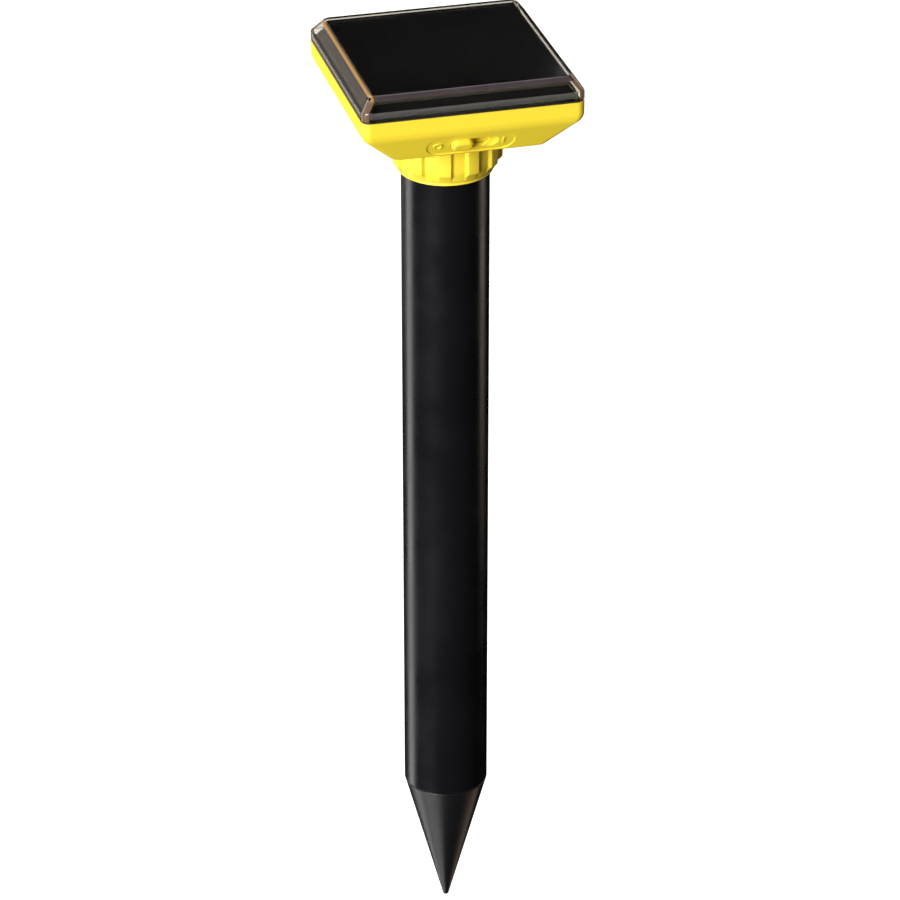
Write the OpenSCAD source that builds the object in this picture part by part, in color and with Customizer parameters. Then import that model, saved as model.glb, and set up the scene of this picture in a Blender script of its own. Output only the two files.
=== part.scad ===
// Solar ground stake that drives pests away with sound: a square solar head on a long tube.
// The tube's axis is Z, Z = 0 is the soil line, and the switch side of the head faces -Y.

/* [Stake] */
// Outer diameter of the tube
tube_od = 36; // [32:0.5:44]
// Wall of the tube
tube_wall = 2; // [1.6:0.1:3]
// Length of tube that shows, from the collar down to the spike
stake_len = 291; // [150:1:420]
// Length of the cone, from the tube to its tip
spike_len = 64.6; // [45:0.2:90]
// Radius of the rounded tip
tip_r = 1.3; // [1:0.1:2.5]
// Length of the spike's plug inside the tube
plug_len = 14; // [8:1:25]
// Wall of the spike
spike_wall = 3; // [2:0.2:5]
// Height of the collar's foot above the soil
soil_gap = 20; // [5:1:60]

/* [Collar] */
// Height of the collar
collar_h = 21.6; // [21:0.2:30]
// Wall at the collar's foot
foot_wall = 1.1; // [1:0.1:2]
// How far the bowl stands out past the foot
bowl_out = 2.4; // [1.8:0.1:4]
// How far the grip ribs stand out past the bowl
rib_out = 1.3; // [0.8:0.1:2]
// Number of grip ribs
rib_count = 12; // [6:1:16]
// Thickness of the lip that hangs on the neck
lip_t = 3; // [2:0.1:4]
// Turn that frees the tube
unlock_deg = 30; // [20:1:40]
// Radius of a bayonet peg
peg_r = 1.5; // [1:0.1:2]

/* [Head] */
// Width of the head
head_w = 90; // [86:1:120]
// Depth of the head
head_d = 92; // [88:1:120]
// Radius of the head's upright corners
corner_r = 3.5; // [1:0.25:6]
// How far each side slopes in towards the underside
side_in = 13.9; // [8:0.1:14]
// How far the front and the back slope in
front_in = 8.6; // [6:0.1:12]
// Height of the slope
slope_h = 13.1; // [12:0.1:20]
// Height of the upright band
band_h = 7.3; // [5:0.1:14]
// Wall of the housing
wall = 2.2; // [1.8:0.1:2.6]
// Thickness of the cover's seal
gasket_t = 0.8; // [0.4:0.1:2]
// Height of the cover's upright wall
cover_wall_h = 3.5; // [2:0.1:8]
// Height of the cover's bevel
bevel_h = 5.6; // [3:0.1:8]
// How far the bevel slopes in
bevel_in = 4.3; // [2:0.1:6]
// Thickness of the clear cover
cover_t = 2; // [1.5:0.1:2.5]
// Thickness of the solar panel
panel_t = 2.5; // [1.5:0.1:4]

/* [Switch] */
// Length of the slot
slot_len = 16.4; // [14:0.2:18]
// Height of the slot
slot_h = 6.4; // [5:0.1:7]
// Length of the knob
knob_len = 9; // [8:0.1:10]
// How far the knob stands out of the slope
knob_out = 1.6; // [0.8:0.1:3]
// Depth of the recess around the slot
recess = 0.5; // [0.3:0.1:1.1]
// Place of the switch along the head's front
switch_x = -0.5; // [-6:0.5:6]
// Place of the switch up the slope from its middle
switch_up = -1; // [-1.5:0.1:1.5]

/* [Cells and board] */
// Diameter of a rechargeable cell, AA size
cell_d = 14.5; // [10.5:0.1:14.5]
// Length of a cell with its button
cell_len = 50.5; // [44.5:0.1:50.5]
// Width of the circuit board
board_w = 60; // [56:1:64]
// Depth of the circuit board
board_d = 52; // [44:1:56]
// Thickness of the circuit board
board_t = 1.6; // [1:0.2:2]

/* [Fits] */
// Gap between parts that slide or turn past each other
slide_gap = 0.3; // [0.2:0.05:0.5]
// Radial gap of the collar's lip on the neck
running_gap = 0.08; // [0.05:0.01:0.1]
// Gap between parts that are assembled and stay put
seat_gap = 0.2; // [0.1:0.05:0.4]

/* [Hidden] */
$fn = 96;
far = 400;          // longer than anything that is cut
bite = 0.01;        // a cut's run past a face

// Radii about the tube's axis
tube_r = tube_od / 2;
bore_r = tube_r - tube_wall;
collar_bore = tube_r + slide_gap;
foot_r = collar_bore + foot_wall;
bowl_r = foot_r + bowl_out;
rib_r = bowl_r + rib_out;
spigot_r = bore_r - seat_gap;
neck_r = bore_r + 0.5;
neck_bore = spigot_r - 2.5;
lip_bore = neck_r + running_gap;
clip_root = neck_r - 1;
clip_r = collar_bore - 0.4;
key_w = 4;
key_h = 4;
key_deg = 120;
peg_deg = 45;

// Heights on the stake
collar_z = soil_gap;
collar_top = collar_z + collar_h;
under_z = collar_top + slide_gap;
seam_z = collar_z - stake_len;
lip_z = collar_top - lip_t;
clip_t = 1.1;
clip_top = lip_z - slide_gap;
clip_z = clip_top - clip_t;
groove_gap = 0.05;
neck_z = clip_z - 1.5;
tube_top = neck_z - 0.1;
tube_relief = 0.2;
relief_z = collar_z - 1;
spigot_z = collar_z + 3;
seal_r = 0.7;
seal_z = spigot_z + 2.5;
peg_z = tube_top - 5.5;
slot_gap = slide_gap;

// Heights in the head
band_z = under_z + slope_h;
rim_z = band_z + band_h;
cover_z = rim_z + gasket_t;
bevel_z = cover_z + cover_wall_h;
top_z = bevel_z + bevel_h;
floor_z = under_z + wall;
panel_top = top_z - cover_t - seat_gap;
panel_z = panel_top - panel_t;
tray_z = rim_z - 1.3;
tray_t = 1.6;
tray_ceiling = panel_z - tray_t;

// Head outline, as half sizes
half_w = head_w / 2;
half_d = head_d / 2;
under_hw = half_w - side_in;
under_hd = half_d - front_in;

// Tongues under the cover's edge, inside the housing's wall
tongue_w = 8;
tongue_t = 1;
tongue_len = 4;
tongue_x = half_w - wall - seat_gap - tongue_t;

// The cover's bevel pushed in by the cover's thickness, measured level
bevel_shift = cover_t * norm([bevel_in, bevel_h]) / bevel_h;
function cover_inner(half, z) = half - bevel_in * (z - bevel_z) / bevel_h - bevel_shift;
panel_hw = cover_inner(half_w, panel_top) - 0.7;
panel_hd = cover_inner(half_d, panel_top) - 0.7;
tray_hw = tongue_x - seat_gap;
tray_hd = tray_hw + half_d - half_w;
tray_knee = panel_z - 2.6;

// Cells lie on the floor in front of and behind the neck's bore
holder_wall = 1.2;
holder_base = 1;
spring_len = 3;
plate_t = 0.4;
plate_w = 8;
cell_r = cell_d / 2;
cell_y = neck_bore + cell_r + holder_wall + 0.6;
cell_z = floor_z + holder_base + cell_r + seat_gap;
bay_hx = (cell_len + spring_len) / 2 + plate_t;
board_z = cell_z + cell_r + 1;
board_top = board_z + board_t;

// Posts and screws
post_x = 22;
post_y = 9;
post_r = 2.5;
board_screw_r = 1.2;
board_screw_len = 8;
tray_post_x = 33.5 + (head_w - 90) / 2;
tray_post_y = 34.5 + (head_d - 92) / 2;
tray_post_r = 3.2;
tray_screw_r = 1.4;
tray_seat_z = tray_z + 2.6;
tray_screw_len = 10;

// The switch sits square to the front slope: X along it, Y up it, Z out of it
slope_tilt = atan(front_in / slope_h);
slope_len = norm([front_in, slope_h]);
knob_h = slot_h - 2 * slide_gap;
knob_travel = slot_len - knob_len - 2 * slide_gap;
knob_x = -knob_travel / 2;
// Long enough to close the slot at both ends of the travel
carrier_hx = (slot_len + knob_travel) / 2 + 0.5;
carrier_hy = 4.3;
carrier_z = -wall - slide_gap;
carrier_t = 1.2;
body_z = carrier_z - carrier_t - 0.6;
body_t = 4.4;
body_hx = 8.5;
body_hy = 3.4;
ear_x = 18;
ear_t = 1;
lever_hx = 1.1;
lever_hy = 1;
lever_len = 2.8;
switch_post_r = 1.9;
switch_screw_r = 0.9;
mark_h = 0.35;

// Sounder in the foot of the tube
sounder_r = bore_r - 2.6;
sounder_z = seam_z + plug_len + 6;
sounder_h = 20;
sounder_wall = 1.4;
foam_h = 5;
magnet_r = 8;
magnet_h = 6;
lead_r = 0.6;
lead_x = 8;
lead_y = 1.4;
panel_lead_x = -14;
panel_lead_y = 10;

module round_rect(hx, hy, r) {
    square([2 * hx, 2 * (hy - r)], center = true);
    square([2 * (hx - r), 2 * hy], center = true);
    for (sx = [-1, 1], sy = [-1, 1])
        translate([sx * (hx - r), sy * (hy - r)]) circle(r = r);
}

// A slot's outline with round ends, along X
module pill(length, height) {
    square([length - height, height], center = true);
    for (s = [-1, 1]) translate([s * (length - height) / 2, 0]) circle(d = height);
}

// A flat-sided outline that runs along Y (turn = 0) or along X (turn = 90)
module ridge(points, turn) {
    rotate([0, 0, turn]) rotate([90, 0, 0])
        linear_extrude(height = far, center = true) polygon(points);
}

function tub_side(low, high, z0, knee, z1) =
    [[-low, z0], [low, z0], [high, knee], [high, z1], [-high, z1], [-high, knee]];

// The housing's outer form, from the underside to its rim
module tub_outer() {
    intersection() {
        translate([0, 0, under_z]) linear_extrude(height = rim_z - under_z)
            round_rect(half_w, half_d, corner_r);
        ridge(tub_side(under_hw, half_w, under_z, band_z, rim_z), 0);
        ridge(tub_side(under_hd, half_d, under_z, band_z, rim_z), 90);
    }
}

// Half size of the tub's hollow at the floor, and the height of its knee
function slope_shift(inward) = wall * norm([inward, slope_h]) / slope_h;
function hollow_low(half, inward) = half - inward + inward * wall / slope_h - slope_shift(inward);
function hollow_knee(inward) = band_z + (slope_shift(inward) - wall) * slope_h / inward;

module tub_hollow() {
    top = rim_z + 1;
    intersection() {
        translate([0, 0, floor_z]) linear_extrude(height = top - floor_z)
            round_rect(half_w - wall, half_d - wall, corner_r / 2);
        ridge(tub_side(hollow_low(half_w, side_in), half_w - wall, floor_z,
                       hollow_knee(side_in), top), 0);
        ridge(tub_side(hollow_low(half_d, front_in), half_d - wall, floor_z,
                       hollow_knee(front_in), top), 90);
    }
}

// Puts its children on the middle of the front slope
module on_slope() {
    translate([switch_x, -(under_hd + half_d) / 2, (under_z + band_z) / 2])
        rotate([90 + slope_tilt, 0, 0])
            translate([0, switch_up, 0]) children();
}

module rod(r, z0, z1) {
    translate([0, 0, z0]) cylinder(r = r, h = z1 - z0);
}

// A wire through the listed points, round at its bends
module wire(points) {
    for (i = [0 : len(points) - 2]) {
        d = points[i + 1] - points[i];
        translate(points[i])
            rotate([0, acos(d[2] / norm(d)), atan2(d[1], d[0])])
                cylinder(r = lead_r, h = norm(d), $fn = 24);
        if (i > 0) translate(points[i]) sphere(r = lead_r, $fn = 24);
    }
}

module pan_screw(head_r, head_h, shank_r, shank_len) {
    cylinder(r = head_r, h = head_h);
    rod(shank_r, -shank_len, bite);
}

module at_board_posts() {
    for (sx = [-1, 1], sy = [-1, 1]) translate([sx * post_x, sy * post_y, 0]) children();
}

module at_tray_posts() {
    for (sx = [-1, 1], sy = [-1, 1]) translate([sx * tray_post_x, sy * tray_post_y, 0]) children();
}

module housing() {
    color("gold") {
        difference() {
            union() {
                difference() {
                    tub_outer();
                    tub_hollow();
                }
                intersection() {
                    tub_outer();
                    union() {
                        at_board_posts() rod(post_r, under_z + 1, board_z);
                        at_tray_posts() rod(tray_post_r, under_z + 1, tray_z);
                    }
                }
                rod(neck_r, neck_z, under_z + 1);
                rod(spigot_r, spigot_z, neck_z + bite);
                rotate([0, 0, key_deg]) intersection() {
                    translate([0, -key_w / 2 + slot_gap, neck_z - key_h + slot_gap])
                        cube([tube_r - 0.2, key_w - 2 * slot_gap, key_h]);
                    rod(tube_r - 0.2, spigot_z, neck_z + 1);
                }
                on_slope() for (s = [-1, 1]) translate([s * ear_x, 0, 0])
                    rod(switch_post_r, body_z, -wall + 0.5);
            }
            rod(neck_bore, spigot_z - 1, floor_z + 1);
            clip_groove();
            seal_groove();
            at_board_posts() rod(board_screw_r, board_z - board_screw_len, board_z + 1);
            at_tray_posts() rod(tray_screw_r, tray_seat_z - tray_screw_len, tray_z + 1);
            on_slope() {
                translate([0, 0, -recess]) linear_extrude(height = 5)
                    pill(slot_len + 19.6, slope_len - 4.2);
                translate([0, 0, -wall - 1]) linear_extrude(height = 5)
                    pill(slot_len, slot_h);
                for (s = [-1, 1]) translate([s * ear_x, 0, 0])
                    rod(switch_screw_r, body_z - 1, -wall + 0.3);
            }
        }
        on_slope() translate([0, 0, -recess - bite]) switch_marks();
    }
}

// Raised marks beside the slot: a ring for off and a bar for on
module switch_marks() {
    mark_x = slot_len / 2 + 5.1;
    ring_r = 1.9;
    stroke = 0.7;
    translate([-mark_x, 0, 0]) difference() {
        cylinder(r = ring_r, h = mark_h);
        rod(ring_r - stroke, -1, 1);
    }
    translate([mark_x - stroke / 2, -ring_r, 0]) cube([stroke, 2 * ring_r, mark_h]);
}

module clip_groove() {
    difference() {
        rod(tube_r, clip_z - groove_gap, clip_top + groove_gap);
        rod(clip_root, clip_z - 1, clip_top + 1);
    }
}

module seal_groove() {
    difference() {
        rod(tube_r, seal_z - seal_r - 0.2, seal_z + seal_r + 0.2);
        rod(bore_r - 2 * seal_r, seal_z - 2, seal_z + 2);
    }
}

// Half an outline of the cover: upright wall, then bevel
function cover_side(half, z0, wall_in, shift, z1) =
    let (side = half - wall_in,
         slope = bevel_in / bevel_h,
         knee = bevel_z + (wall_in - shift) / slope,
         lid = half - slope * (z1 - bevel_z) - shift)
    [[-side, z0], [side, z0], [side, knee], [lid, z1], [-lid, z1], [-side, knee]];

module cover_solid(wall_in, shift, z0, z1, r) {
    intersection() {
        translate([0, 0, z0]) linear_extrude(height = z1 - z0)
            round_rect(half_w - wall_in, half_d - wall_in, r);
        ridge(cover_side(half_w, z0, wall_in, shift, z1), 0);
        ridge(cover_side(half_d, z0, wall_in, shift, z1), 90);
    }
}

// Four tongues under the cover's edge go down inside the housing's wall
module clear_cover() {
    color([0.85, 0.86, 0.88, 0.35]) {
        difference() {
            cover_solid(0, 0, cover_z, top_z, corner_r);
            cover_solid(cover_t, bevel_shift, cover_z - 1, top_z - cover_t, corner_r / 2);
        }
        for (s = [0, 180], y = [-1, 1]) rotate([0, 0, s]) {
            translate([tongue_x, y * half_d / 2 - tongue_w / 2, rim_z - tongue_len])
                cube([tongue_t, tongue_w, tongue_len + gasket_t + 2]);
            translate([tongue_x + tongue_t / 2, y * half_d / 2 - tongue_w / 2, cover_z + 0.6])
                cube([half_w - cover_t - tongue_x, tongue_w, 1.4]);
        }
    }
}

module cover_gasket() {
    color([0.1, 0.1, 0.09])
        translate([0, 0, rim_z]) linear_extrude(height = gasket_t) difference() {
            round_rect(half_w - 0.3, half_d - 0.3, corner_r);
            round_rect(half_w - wall + 0.2, half_d - wall + 0.2, corner_r / 2);
        }
}

module solar_panel() {
    color([0.05, 0.05, 0.06])
        translate([-panel_hw, -panel_hd, panel_z]) cube([2 * panel_hw, 2 * panel_hd, panel_t]);
}

module tray_form(inset, z0, z1) {
    knee_in = tray_hw - (panel_hw + 0.2);
    w = tray_hw - inset;
    d = tray_hd - inset;
    intersection() {
        translate([0, 0, z0]) linear_extrude(height = z1 - z0) round_rect(w, d, 1);
        ridge([[-w, z0], [w, z0], [w, tray_knee], [w - knee_in, z1], [-w + knee_in, z1],
               [-w, tray_knee]], 0);
        ridge([[-d, z0], [d, z0], [d, tray_knee], [d - knee_in, z1], [-d + knee_in, z1],
               [-d, tray_knee]], 90);
    }
}

module panel_tray() {
    color([0.08, 0.08, 0.09]) difference() {
        union() {
            difference() {
                tray_form(0, tray_z, panel_z);
                translate([0, 0, -bite]) tray_form(tray_t, tray_z - 1, tray_ceiling);
            }
            at_tray_posts() rod(tray_post_r + 0.6, tray_z, panel_z - 0.5);
        }
        at_tray_posts() {
            rod(tray_screw_r + 0.15, tray_z - 1, panel_z + 1);
            rod(tray_post_r - 0.4, tray_seat_z, panel_z + 1);
        }
        for (s = [-1, 1]) translate([panel_lead_x + s * 2, panel_lead_y, 0])
            rod(lead_r + 0.4, tray_z, panel_z + 1);
    }
}

module tray_screws() {
    color("silver") at_tray_posts() translate([0, 0, tray_seat_z])
        pan_screw(tray_post_r - 0.7, 1.8, tray_screw_r, tray_screw_len);
}

module panel_leads() {
    color("firebrick") for (s = [-1, 1])
        translate([panel_lead_x + s * 2, panel_lead_y, 0]) rod(lead_r, board_top, panel_z);
}

module circuit_board() {
    color("darkgreen") translate([0, 0, board_z]) difference() {
        translate([-board_w / 2, -board_d / 2, 0]) cube([board_w, board_d, board_t]);
        at_board_posts() rod(board_screw_r + 0.2, -1, board_t + 1);
    }
}

module board_screws() {
    color("silver") at_board_posts() translate([0, 0, board_top])
        pan_screw(2.3, 1.3, board_screw_r, board_screw_len + board_t - 0.2);
}

module driver_chip() {
    chip = [9.9, 3.9, 1.4];
    pin_pitch = 1.27;
    color("black") translate([-8, -9, board_top + 0.1])
        translate([-chip[0] / 2, -chip[1] / 2, 0]) cube(chip);
    color("silver") for (i = [0 : 7], s = [-1, 1])
        translate([-8 + (i - 3.5) * pin_pitch - 0.2, -9 + s * 2.35 - 0.6, board_top])
            cube([0.4, 1.2, 0.5]);
}

module charge_choke() {
    color("dimgray") translate([12, -8, 0]) rod(4.2, board_top, board_top + 2.6);
}

module smoothing_capacitor() {
    color("midnightblue") translate([-4, 0, 0]) rod(4, board_z - 8, board_z);
}

module sounder_leads() {
    color("firebrick") for (s = [-1, 1])
        translate([lead_x, s * lead_y, 0]) rod(lead_r, sounder_z + sounder_h, board_z);
}

module switch_leads() {
    color("firebrick") on_slope() for (s = [-1, 1]) {
        pin = [s * 2.5, 0, body_z - body_t];
        wire([pin, pin + [0, 0, -2], pin + [0, 5.2, -5.4]]);
    }
}

module cell() {
    button_len = 1.3;
    rotate([0, 90, 0]) {
        rod(cell_r, -cell_len / 2, cell_len / 2 - button_len);
        rod(2.7, cell_len / 2 - button_len - bite, cell_len / 2);
    }
}

// Places a child at the front or the rear cell, its button end towards +X or -X
module at_cell(rear) {
    rotate([0, 0, rear ? 180 : 0]) translate([spring_len / 2, -cell_y, cell_z]) children();
}

module cell_front() {
    color("limegreen") at_cell(false) cell();
}

module cell_rear() {
    color("limegreen") at_cell(true) cell();
}

// A cradle for one cell, open at the top
module cell_holder() {
    hx = bay_hx + holder_wall;
    hy = cell_r + seat_gap + holder_wall - 0.6;
    side_top = cell_z + cell_r * 0.2;
    translate([0, -cell_y, 0]) difference() {
        translate([-hx, -hy, floor_z]) cube([2 * hx, 2 * hy, side_top - floor_z]);
        translate([-bay_hx, 0, cell_z]) rotate([0, 90, 0])
            cylinder(r = cell_r + seat_gap, h = 2 * bay_hx);
        translate([-bay_hx, -plate_w / 2 - 0.1, floor_z + 2])
            cube([2 * bay_hx, plate_w + 0.2, far]);
    }
}

module holder_front() {
    color([0.15, 0.15, 0.16]) cell_holder();
}

module holder_rear() {
    color([0.15, 0.15, 0.16]) rotate([0, 0, 180]) cell_holder();
}

module contact_plates() {
    color("silver") for (a = [0, 180], s = [-1, 1])
        rotate([0, 0, a])
            translate([s * (bay_hx - plate_t / 2) - plate_t / 2, -cell_y - plate_w / 2, floor_z + 2.2])
                cube([plate_t, plate_w, board_z - floor_z - 2.2]);
}

// One coil spring, swept along X from a plate to a cell's flat end
coil_turns = 3;
coil_steps = 16;
coil_sides = 6;
coil_r = 3.4;
coil_wire = 0.35;

function coil_point(i, j) =
    let (turn = 360 * i / coil_steps,
         along = coil_wire + (spring_len - 2 * coil_wire) * i / (coil_turns * coil_steps),
         around = 360 * (j + 0.5) / coil_sides,
         r = coil_r + coil_wire * cos(around))
    [along + coil_wire * sin(around), r * cos(turn), r * sin(turn)];

module coil() {
    rings = coil_turns * coil_steps;
    points = [for (i = [0 : rings], j = [0 : coil_sides - 1]) coil_point(i, j)];
    quads = [for (i = [0 : rings - 1], j = [0 : coil_sides - 1])
        let (k = (j + 1) % coil_sides)
        [i * coil_sides + j, i * coil_sides + k, (i + 1) * coil_sides + k, (i + 1) * coil_sides + j]];
    ends = [[for (j = [coil_sides - 1 : -1 : 0]) j],
            [for (j = [0 : coil_sides - 1]) rings * coil_sides + j]];
    polyhedron(points = points, faces = concat(quads, ends), convexity = 6);
}

module contact_springs() {
    color("silver") for (a = [0, 180])
        rotate([0, 0, a]) translate([-bay_hx + plate_t, -cell_y, cell_z]) coil();
}

module switch_body() {
    throat = knob_travel + 2 * lever_hx + 0.6;
    color("silver") on_slope() difference() {
        union() {
            translate([-body_hx, -body_hy, body_z - body_t]) cube([2 * body_hx, 2 * body_hy, body_t]);
            translate([-ear_x - 2.4, -body_hy, body_z - ear_t])
                cube([2 * ear_x + 4.8, 2 * body_hy, ear_t]);
        }
        translate([-throat / 2, -lever_hy - 0.3, body_z - lever_len]) cube([throat, 2 * lever_hy + 0.6, 5]);
        for (s = [-1, 1]) translate([s * ear_x, 0, 0]) rod(switch_screw_r + 0.1, body_z - 3, body_z + 1);
    }
}

module switch_screws() {
    color("silver") on_slope() for (s = [-1, 1])
        translate([s * ear_x, 0, body_z - ear_t]) rotate([180, 0, 0])
            pan_screw(1.7, 1, switch_screw_r, 3);
}

module switch_lever() {
    top = carrier_z - carrier_t;
    color([0.9, 0.9, 0.88]) on_slope()
        translate([knob_x - lever_hx, -lever_hy, body_z - lever_len + 0.4])
            cube([2 * lever_hx, 2 * lever_hy, top - body_z + lever_len - 0.4]);
}

module knob_carrier() {
    color("gold") on_slope()
        translate([knob_x - carrier_hx, -carrier_hy, carrier_z - carrier_t])
            cube([2 * carrier_hx, 2 * carrier_hy, carrier_t]);
}

module switch_knob() {
    color("gold") on_slope() translate([knob_x, 0, carrier_z])
        linear_extrude(height = knob_out - carrier_z) pill(knob_len, knob_h);
}

// The collar's outer line: foot, narrow step, bowl and a slight taper up to the head
function collar_line() =
    let (step = 1.2, bowl = 1.5, bowl_top = 6.4, waist = foot_r - 0.4)
    concat([[foot_r - 0.3, 0], [foot_r, 0.3], [foot_r, step - 0.3], [waist, step]],
           [for (t = [15 : 15 : 60]) [waist + bowl * sin(t), step + bowl * (1 - cos(t))]],
           [[bowl_r - 0.15, bowl_top], [bowl_r, bowl_top + 1.5], [bowl_r, collar_h]]);

module collar() {
    rib_foot = 3.9;
    rib_bevel = 1.7;
    lip_low = collar_h - lip_t;
    color("gold") translate([0, 0, collar_z]) {
        rotate_extrude() polygon(concat([[collar_bore, 0]], collar_line(),
            [[lip_bore, collar_h], [lip_bore, lip_low], [collar_bore, lip_low]]));
        intersection() {
            linear_extrude(height = collar_h) for (i = [0 : rib_count - 1])
                rotate([0, 0, (i + 0.5) * 360 / rib_count]) collar_rib();
            rotate_extrude() polygon([[collar_bore + 0.6, rib_foot], [bowl_r - 0.3, rib_foot],
                [rib_r, rib_foot + rib_bevel], [rib_r, collar_h], [collar_bore + 0.6, collar_h]]);
        }
        for (a = [0, 120, 240]) rotate([0, 0, peg_deg + a]) translate([0, 0, peg_z - collar_z])
            rotate([0, 90, 0]) rod(peg_r, bore_r + 0.3, collar_bore + 0.4);
    }
}

// Cross-section of one grip rib, pointing along -Y
module collar_rib() {
    root = 360 / rib_count * 0.27;
    crest = 360 / rib_count * 0.215;
    near = collar_bore + 0.5;
    out = rib_r + 0.4;
    polygon([[-near * sin(root), -near * cos(root)], [near * sin(root), -near * cos(root)],
             [bowl_r * sin(root), -bowl_r * cos(root)], [out * sin(crest), -out * cos(crest)],
             [-out * sin(crest), -out * cos(crest)], [-bowl_r * sin(root), -bowl_r * cos(root)]]);
}

module collar_clip() {
    gap = 8;
    color("silver") difference() {
        rod(clip_r, clip_z, clip_top);
        rod(clip_root, clip_z - 1, clip_top + 1);
        translate([0, -gap / 2, clip_z - 1]) cube([far, gap, clip_t + 2]);
    }
}

module neck_seal() {
    color([0.1, 0.1, 0.1]) translate([0, 0, seal_z]) rotate_extrude()
        translate([bore_r - seal_r, 0]) circle(r = seal_r, $fn = 32);
}

// One J-shaped cut in the tube's top, with the peg's seat at angle 0
module bayonet_cut() {
    half = peg_r + slot_gap;
    spare = asin(half / bore_r) + 1;
    reach = tube_r + 2;
    translate([0, 0, peg_z - half]) linear_extrude(height = 2 * half)
        polygon(concat([[0, 0]], [for (a = [-spare, unlock_deg / 2, unlock_deg + spare])
            [reach * cos(a), reach * sin(a)]]));
    rotate([0, 0, unlock_deg]) translate([bore_r - 1, -half, peg_z])
        cube([tube_wall + 2, 2 * half, tube_top - peg_z + 1]);
}

module tube() {
    color([0.07, 0.07, 0.08]) difference() {
        rotate_extrude() polygon([[bore_r, seam_z], [tube_r, seam_z], [tube_r, relief_z],
            [tube_r - tube_relief, relief_z], [tube_r - tube_relief, tube_top], [bore_r, tube_top]]);
        for (a = [0, 120, 240]) rotate([0, 0, peg_deg + a]) bayonet_cut();
        rotate([0, 0, key_deg]) translate([bore_r - 1, -key_w / 2, tube_top - key_h])
            cube([tube_wall + 2, key_w, key_h + 1]);
    }
}

// The cone's line: straight from the seam to where the round tip begins, then the tip's arc
function cone_line() =
    let (c = spike_len - tip_r,
         a = atan(tube_r / c) - asin(tip_r / norm([tube_r, c])))
    concat([[tube_r, 0]], [for (t = [a : (90 - a) / 6 : 89])
        [tip_r * cos(t), -c - tip_r * sin(t)]]);

module spike() {
    plug_r = bore_r - 0.02;
    hollow_len = spike_len * 0.62;
    color([0.06, 0.06, 0.07]) difference() {
        translate([0, 0, seam_z]) rotate_extrude() polygon(concat([[0, plug_len], [plug_r - 0.6, plug_len],
            [plug_r, plug_len - 0.6], [plug_r, 0]], cone_line(), [[0, -spike_len]]));
        translate([0, 0, seam_z]) rotate_extrude() polygon([[0, plug_len + 1],
            [plug_r - spike_wall, plug_len + 1], [plug_r - spike_wall, -2], [2, -hollow_len], [0, -hollow_len]]);
    }
}

module sounder_case() {
    color([0.12, 0.12, 0.12]) difference() {
        rod(sounder_r, sounder_z, sounder_z + sounder_h);
        rod(sounder_r - sounder_wall, sounder_z - 1, sounder_z + sounder_h - sounder_wall);
    }
}

module sounder_magnet() {
    top = sounder_z + sounder_h - sounder_wall;
    color("dimgray") rod(magnet_r, top - magnet_h, top);
}

module sounder_cone() {
    rim = sounder_r - sounder_wall;
    z0 = sounder_z + 2;
    coil_top = sounder_z + sounder_h - sounder_wall - magnet_h;
    sheet = 0.5;
    color("tan") rotate_extrude() polygon([[rim, z0], [rim, z0 + sheet], [rim - 2, z0 + sheet],
        [magnet_r - 2 + sheet, coil_top], [magnet_r - 2, coil_top], [magnet_r - 2, coil_top - 1.5],
        [rim - 2 - sheet, z0]]);
}

module foam_ring(z) {
    color([0.25, 0.25, 0.27]) difference() {
        rod(bore_r, z, z + foam_h);
        rod(sounder_r, z - 1, z + foam_h + 1);
    }
}

module foam_ring_top() {
    foam_ring(sounder_z + sounder_h - foam_h - 1);
}

module foam_ring_bottom() {
    foam_ring(sounder_z + 1);
}

housing();
clear_cover();
cover_gasket();
solar_panel();
panel_tray();
tray_screws();
panel_leads();
circuit_board();
board_screws();
driver_chip();
charge_choke();
smoothing_capacitor();
switch_leads();
cell_front();
cell_rear();
holder_front();
holder_rear();
contact_plates();
contact_springs();
switch_body();
switch_screws();
switch_lever();
knob_carrier();
switch_knob();
collar();
collar_clip();
neck_seal();
tube();
spike();
sounder_case();
sounder_magnet();
sounder_cone();
foam_ring_top();
foam_ring_bottom();
sounder_leads();
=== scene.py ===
"""A solar ground stake that keeps burrowing pests away with sound.

The sections follow the object as it is put together: the spike, the tube, the collar, the head's housing with
its switch, the panel on its tray, the clear cover, and the finishes of the pieces inside.
"""

import math

import bmesh
import bpy
from mathutils import Matrix, Vector


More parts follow.
